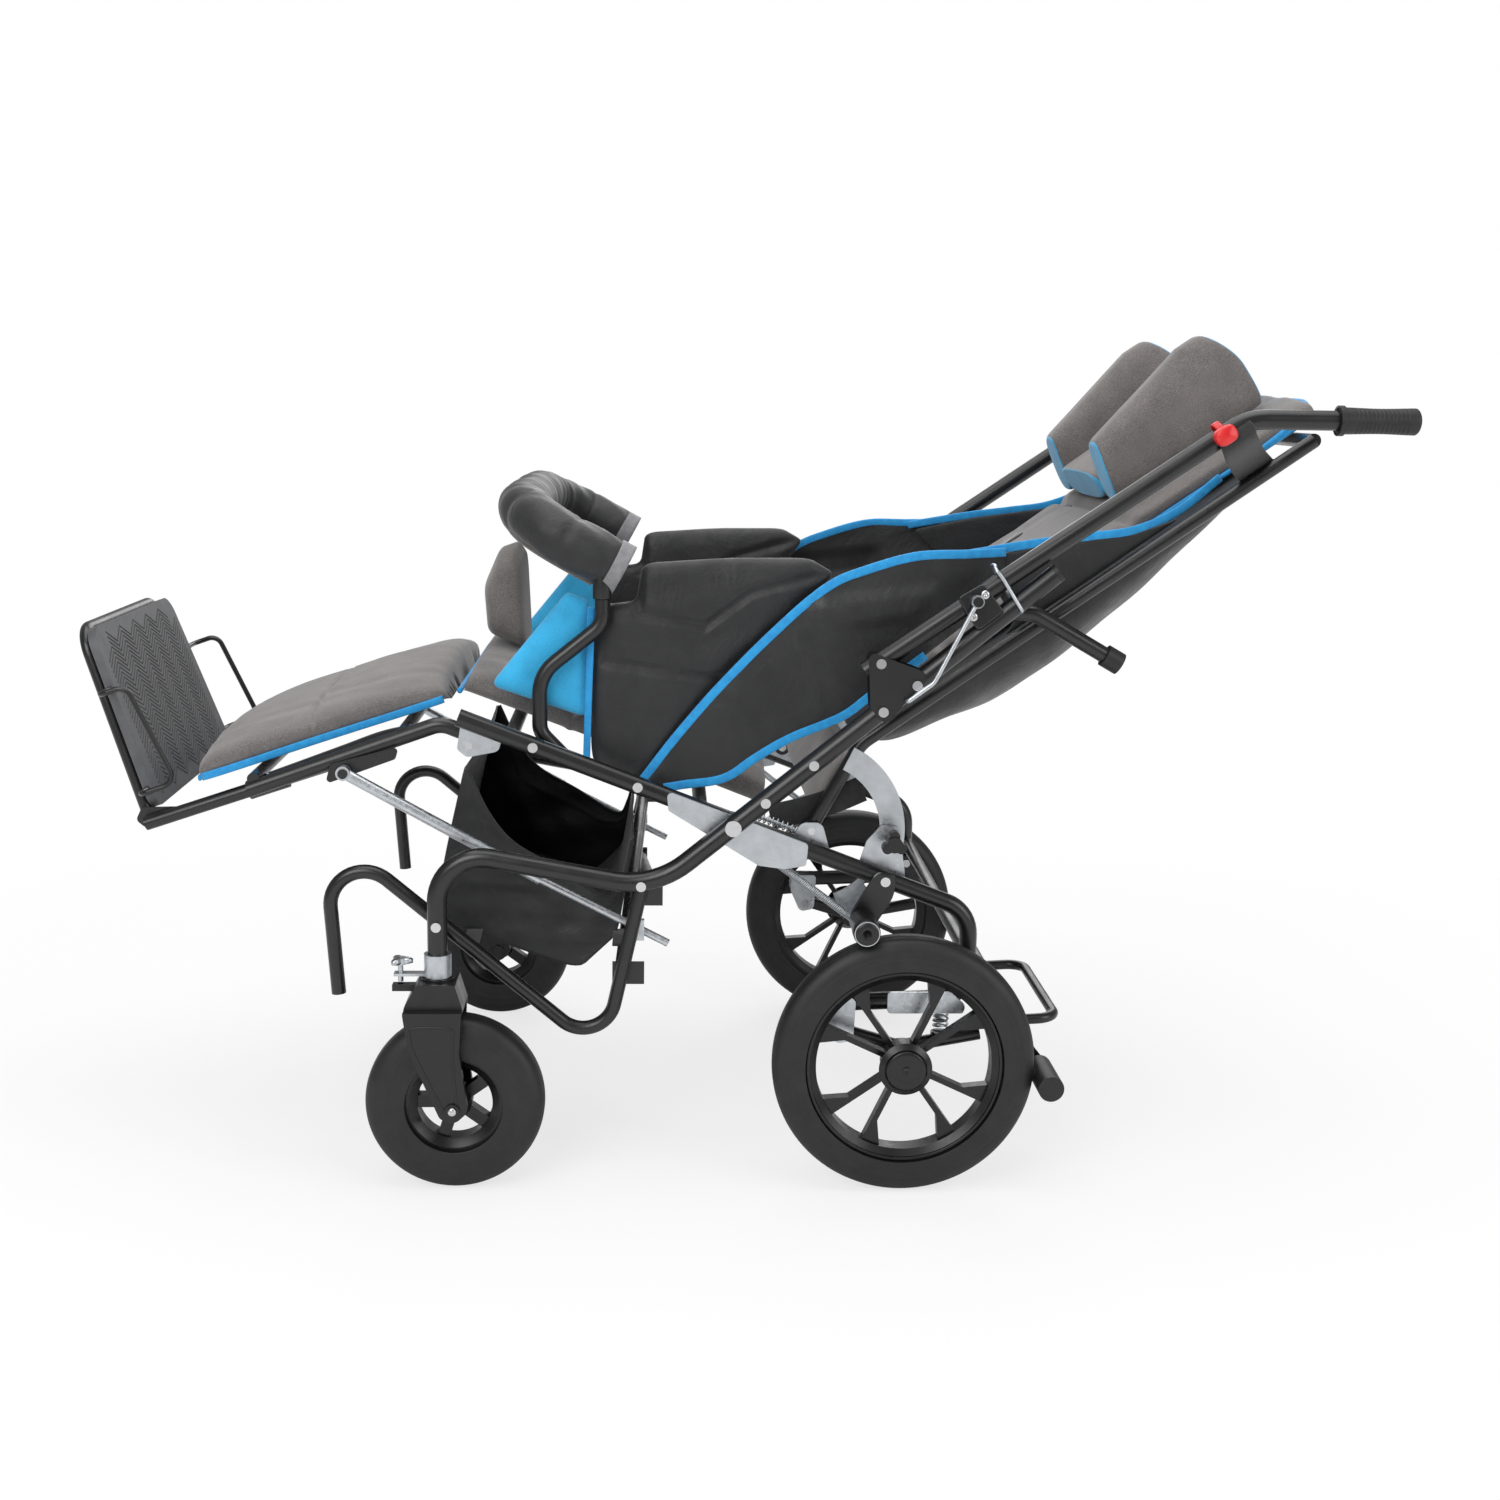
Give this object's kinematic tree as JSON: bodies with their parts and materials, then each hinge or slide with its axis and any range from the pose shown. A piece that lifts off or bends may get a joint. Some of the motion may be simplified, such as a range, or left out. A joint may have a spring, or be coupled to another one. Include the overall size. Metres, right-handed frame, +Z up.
{
  "type": "special needs stroller",
  "caption": "Folding stroller for an older child: tube frame on casters and sprung wheels, padded reclining seat, leg rest, footplate, grab bar, head support, basket.",
  "frame": {"origin": "on the floor, under the middle of the overall length and width", "axes": "+X towards the push handles, +Y to the right-hand side, +Z up"},
  "size_m": [1.4811, 0.7, 0.955],
  "materials": {
    "frame_black": "satin powder coat",
    "zinc": "zinc plated",
    "bolt_steel": "bright",
    "plastic_black": "moulded",
    "wheel_black": "moulded",
    "tyre_black": "matt",
    "rubber_black": "matt",
    "footplate_rubber": "matt, ribbed",
    "fabric_black": "woven",
    "fabric_grey": "woven melange"
  },
  "bodies": {
    "main_frame": {"main_side_tubes": "frame_black", "hook_tubes": "frame_black", "handle_gussets": "frame_black", "frame_bolts": "bolt_steel", "cross_brace": "frame_black", "rear_handles": "frame_black", "rubber_caps": "rubber_black", "collars_and_clamps": "zinc", "basket": "fabric_black"},
    "seat_frame": {"seat_side_tubes": "frame_black", "seat_cross_tubes": "frame_black", "seat_frame_plates": "zinc", "seat_frame_bolts": "bolt_steel", "bar_sockets": "frame_black", "suspension_springs": "zinc", "brake_springs": "zinc", "seat_pad": "fabric_grey", "left_side_panel": "fabric_black", "right_side_panel": "fabric_black", "abduction_block": "fabric_grey"},
    "backrest": {"back_tubes": "frame_black", "recline_quadrants": "zinc", "back_pad": "fabric_grey", "back_shell": "fabric_black"},
    "head_support": {"headrest": "fabric_grey"},
    "leg_rest": {"leg_frame": "frame_black", "calf_pad": "fabric_grey"},
    "foot_slide": {"foot_slide_tubes": "frame_black"},
    "footplate": {"footplate_board": "footplate_rubber", "footplate_frame": "frame_black", "foot_guards": "frame_black"},
    "foot_brake_bar": {"foot_brake": "frame_black", "foot_brake_pegs": "rubber_black"},
    "grab_bar_body": {"grab_bar": "fabric_black"},
    "left_caster": {"left_caster_fork": "plastic_black"},
    "left_front_roller": {"left_front_wheel": "wheel_black", "left_front_tyre": "tyre_black"},
    "left_lock_pin": {"left_caster_lock_pin": "zinc"},
    "left_rear_roller": {"left_rear_wheel": "wheel_black", "left_rear_tyre": "tyre_black"},
    "left_arm": {"left_swing_arm": "frame_black"},
    "left_knob": {"left_recline_knob": "plastic_black"},
    "left_strut": {"left_leg_strut": "zinc"},
    "left_brake": {"left_brake_arm": "zinc"},
    "left_push_handle": {"left_push_tube": "frame_black", "left_grip": "rubber_black"},
    "left_lever": {"left_lock_lever": "zinc"},
    "right_caster": {"right_caster_fork": "plastic_black"},
    "right_front_roller": {"right_front_wheel": "wheel_black", "right_front_tyre": "tyre_black"},
    "right_lock_pin": {"right_caster_lock_pin": "zinc"},
    "right_rear_roller": {"right_rear_wheel": "wheel_black", "right_rear_tyre": "tyre_black"},
    "right_arm": {"right_swing_arm": "frame_black"},
    "right_knob": {"right_recline_knob": "plastic_black"},
    "right_strut": {"right_leg_strut": "zinc"},
    "right_brake": {"right_brake_arm": "zinc"},
    "right_push_handle": {"right_push_tube": "frame_black", "right_grip": "rubber_black"},
    "right_lever": {"right_lock_lever": "zinc"}
  },
  "joints": [
    {"name": "fold", "type": "hinge", "parent": "main_frame", "child": "seat_frame", "pos_m": [0.008, 0, 0.4159], "axis": [0, 1, 0], "range_deg": [0, 44]},
    {"name": "recline", "type": "hinge", "parent": "seat_frame", "child": "backrest", "pos_m": [0.098, 0, 0.402], "axis": [0, -1, 0], "range_deg": [0, 38]},
    {"name": "headrest_slide", "type": "slide", "parent": "backrest", "child": "head_support", "axis": [0.8202, 0, 0.5721], "range_m": [-0.04, 0.04]},
    {"name": "leg_rest_tilt", "type": "hinge", "parent": "seat_frame", "child": "leg_rest", "pos_m": [-0.284, 0, 0.497], "axis": [0, -1, 0], "range_deg": [-8, 60]},
    {"name": "foot_slide_length", "type": "slide", "parent": "leg_rest", "child": "foot_slide", "axis": [-0.9474, 0, -0.32], "range_m": [-0.045, 0.06]},
    {"name": "footplate_tilt", "type": "hinge", "parent": "foot_slide", "child": "footplate", "pos_m": [-0.659, 0, 0.397], "axis": [0, -1, 0], "range_deg": [-10, 25]},
    {"name": "foot_brake_press", "type": "hinge", "parent": "seat_frame", "child": "foot_brake_bar", "pos_m": [0.278, 0, 0.233], "axis": [0, -1, 0], "range_deg": [0, 12]},
    {"name": "grab_bar_swing", "type": "hinge", "parent": "seat_frame", "child": "grab_bar_body", "pos_m": [-0.137, 0.259, 0.66], "axis": [0, 0, -1], "range_deg": [0, 90]},
    {"name": "left_caster_swivel", "type": "hinge", "parent": "main_frame", "child": "left_caster", "pos_m": [-0.317, -0.304, 0.262], "axis": [0, 0, 1], "continuous": true},
    {"name": "left_front_spin", "type": "hinge", "parent": "left_caster", "child": "left_front_roller", "pos_m": [-0.299, -0.304, 0.1], "axis": [0, 1, 0], "continuous": true},
    {"name": "left_lock_pin_drop", "type": "slide", "parent": "main_frame", "child": "left_lock_pin", "axis": [0, 0, -1], "range_m": [0, 0.008]},
    {"name": "left_arm_swing", "type": "hinge", "parent": "seat_frame", "child": "left_arm", "pos_m": [0.137, -0.278, 0.172], "axis": [0, -1, 0], "range_deg": [0, 2.5], "stiffness_Nm_per_rad": 200, "springref_deg": -4.58, "deforming": ["suspension_springs"]},
    {"name": "left_rear_spin", "type": "hinge", "parent": "left_arm", "child": "left_rear_roller", "pos_m": [0.203, -0.317, 0.148], "axis": [0, 1, 0], "continuous": true},
    {"name": "left_knob_turn", "type": "hinge", "parent": "seat_frame", "child": "left_knob", "pos_m": [0.188, -0.29, 0.395], "axis": [0, -1, 0], "range_deg": [0, 90]},
    {"name": "left_strut_hinge", "type": "hinge", "parent": "leg_rest", "child": "left_strut", "pos_m": [-0.423, -0.2595, 0.464], "axis": [0, -1, 0], "range_deg": [-50, 8]},
    {"name": "left_brake_swing", "type": "hinge", "parent": "seat_frame", "child": "left_brake", "pos_m": [0.18, -0.29, 0.3506], "axis": [0, 1, 0], "range_deg": [0, 25], "deforming": ["brake_springs"]},
    {"name": "left_handle_fold", "type": "hinge", "parent": "main_frame", "child": "left_push_handle", "pos_m": [0.165, -0.304, 0.6], "axis": [0, -1, 0], "range_deg": [0, 140]},
    {"name": "left_lever_turn", "type": "hinge", "parent": "left_push_handle", "child": "left_lever", "pos_m": [0.266, -0.326, 0.66916], "axis": [0, 1, 0], "range_deg": [0, 75]},
    {"name": "right_caster_swivel", "type": "hinge", "parent": "main_frame", "child": "right_caster", "pos_m": [-0.317, 0.304, 0.262], "axis": [0, 0, 1], "continuous": true},
    {"name": "right_front_spin", "type": "hinge", "parent": "right_caster", "child": "right_front_roller", "pos_m": [-0.299, 0.304, 0.1], "axis": [0, 1, 0], "continuous": true},
    {"name": "right_lock_pin_drop", "type": "slide", "parent": "main_frame", "child": "right_lock_pin", "axis": [0, 0, -1], "range_m": [0, 0.008]},
    {"name": "right_arm_swing", "type": "hinge", "parent": "seat_frame", "child": "right_arm", "pos_m": [0.137, 0.278, 0.172], "axis": [0, -1, 0], "range_deg": [0, 2.5], "stiffness_Nm_per_rad": 200, "springref_deg": -4.58},
    {"name": "right_rear_spin", "type": "hinge", "parent": "right_arm", "child": "right_rear_roller", "pos_m": [0.203, 0.317, 0.148], "axis": [0, 1, 0], "continuous": true},
    {"name": "right_knob_turn", "type": "hinge", "parent": "seat_frame", "child": "right_knob", "pos_m": [0.188, 0.29, 0.395], "axis": [0, -1, 0], "range_deg": [0, 90]},
    {"name": "right_strut_hinge", "type": "hinge", "parent": "leg_rest", "child": "right_strut", "pos_m": [-0.423, 0.2595, 0.464], "axis": [0, -1, 0], "range_deg": [-50, 8]},
    {"name": "right_brake_swing", "type": "hinge", "parent": "seat_frame", "child": "right_brake", "pos_m": [0.18, 0.29, 0.3506], "axis": [0, 1, 0], "range_deg": [0, 25]},
    {"name": "right_handle_fold", "type": "hinge", "parent": "main_frame", "child": "right_push_handle", "pos_m": [0.165, 0.304, 0.6], "axis": [0, -1, 0], "range_deg": [0, 140]},
    {"name": "right_lever_turn", "type": "hinge", "parent": "right_push_handle", "child": "right_lever", "pos_m": [0.266, 0.326, 0.66916], "axis": [0, 1, 0], "range_deg": [0, 75]}
  ],
  "couplings": [
    {"joint": "left_strut_hinge", "follows": "leg_rest_tilt", "ratio": -0.8},
    {"joint": "right_strut_hinge", "follows": "leg_rest_tilt", "ratio": -0.8}
  ]
}
